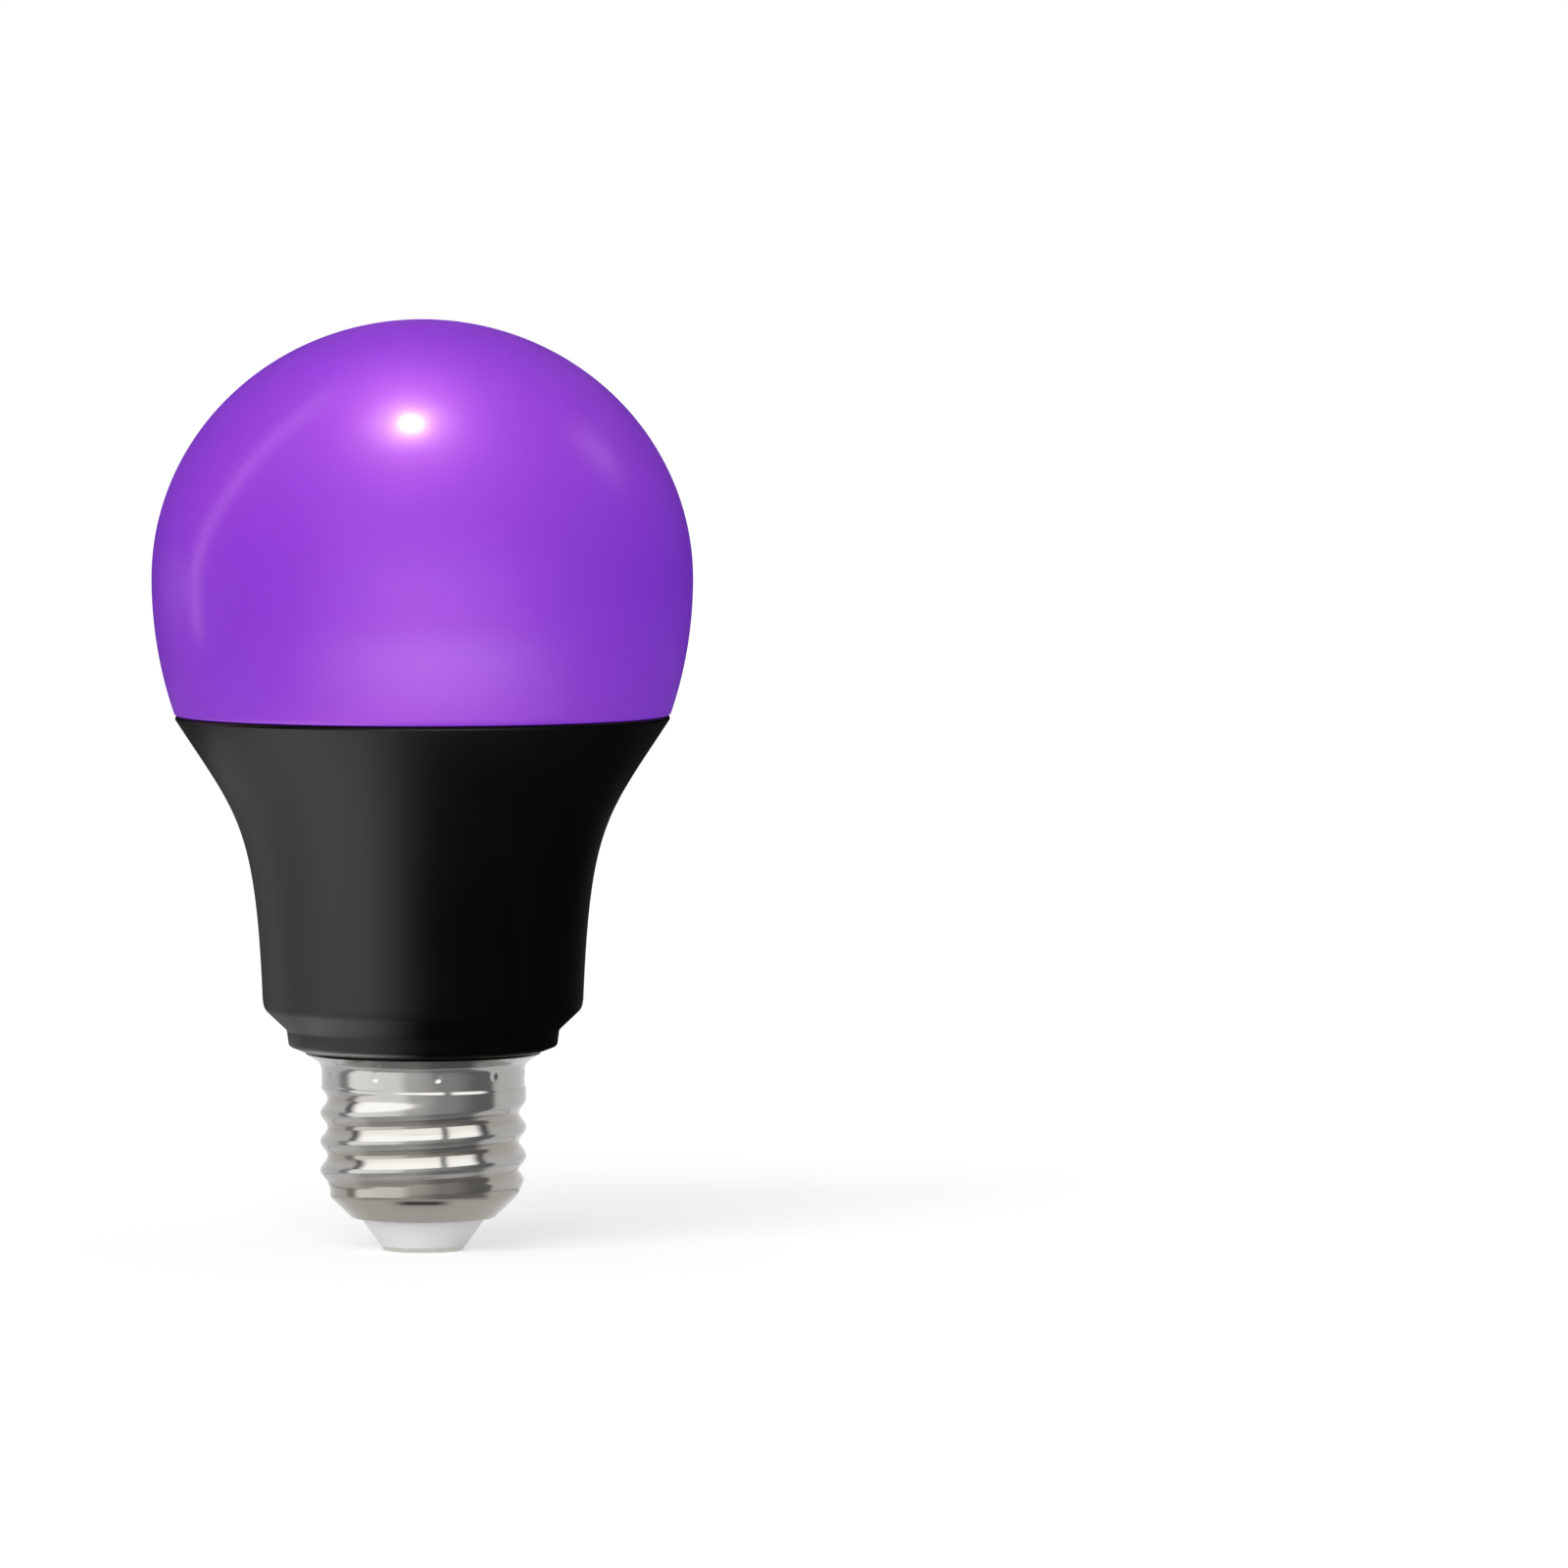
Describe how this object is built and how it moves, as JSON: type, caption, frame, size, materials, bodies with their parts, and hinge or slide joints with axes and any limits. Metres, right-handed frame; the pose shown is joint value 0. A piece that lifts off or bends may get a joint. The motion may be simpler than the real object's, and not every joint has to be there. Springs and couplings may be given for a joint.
{
  "type": "uv black light bulb",
  "caption": "LED black light bulb with a violet diffuser dome, a flared satin black housing and a nickel plated screw cap with its insulator and centre contact.",
  "frame": {"origin": "middle of the centre contact's flat face, on the lamp axis", "axes": "+Z along the lamp axis from the cap up to the top of the dome, +X to the right and +Y to the back as the picture shows the lamp"},
  "size_m": [0.0686, 0.0686, 0.1181],
  "materials": {
    "dome_violet": "satin violet translucent diffuser",
    "silicone": "matt white silicone",
    "board_white": "white solder mask on an aluminium disc",
    "chip": "white chip package with a violet window",
    "socket": "ivory connector plastic",
    "cup_aluminium": "drawn, satin",
    "header_plastic": "black connector plastic",
    "pin_metal": "plated",
    "driver_board": "green solder mask",
    "capacitor_sleeve": "can in a dark sleeve",
    "film_capacitor": "yellow moulded box",
    "varistor": "blue dipped disc",
    "ferrite": "dark ferrite",
    "winding": "enamelled copper wire",
    "package_black": "moulded package",
    "resistor": "green painted body",
    "wire_red": "insulated wire",
    "wire_bare": "tinned wire",
    "housing_black": "satin black moulding",
    "cap_nickel": "nickel plated sheet",
    "insulator_white": "white moulding",
    "contact_metal": "plated disc"
  },
  "bodies": {
    "root": {"diffuser_dome": "dome_violet", "dome_sealant": "silicone", "led_board": "board_white", "board_socket": "socket", "heat_sink_cup": "cup_aluminium", "header_block": "header_plastic", "header_pin_1": "pin_metal", "header_pin_2": "pin_metal", "driver_board": "driver_board", "electrolytic_capacitor": "capacitor_sleeve", "output_capacitor": "capacitor_sleeve", "film_capacitor": "film_capacitor", "varistor": "varistor", "inductor_core": "ferrite", "inductor_winding": "winding", "driver_chip": "package_black", "bridge_rectifier": "package_black", "fusible_resistor": "resistor", "live_wire": "wire_red", "neutral_wire": "wire_bare", "housing": "housing_black", "screw_shell": "cap_nickel", "cap_insulator": "insulator_white", "centre_contact": "contact_metal", "led_chip_01": "chip", "led_chip_02": "chip", "led_chip_03": "chip", "led_chip_04": "chip", "led_chip_05": "chip", "led_chip_06": "chip", "led_chip_07": "chip", "led_chip_08": "chip", "led_chip_09": "chip", "led_chip_10": "chip", "led_chip_11": "chip", "led_chip_12": "chip"}
  },
  "joints": []
}
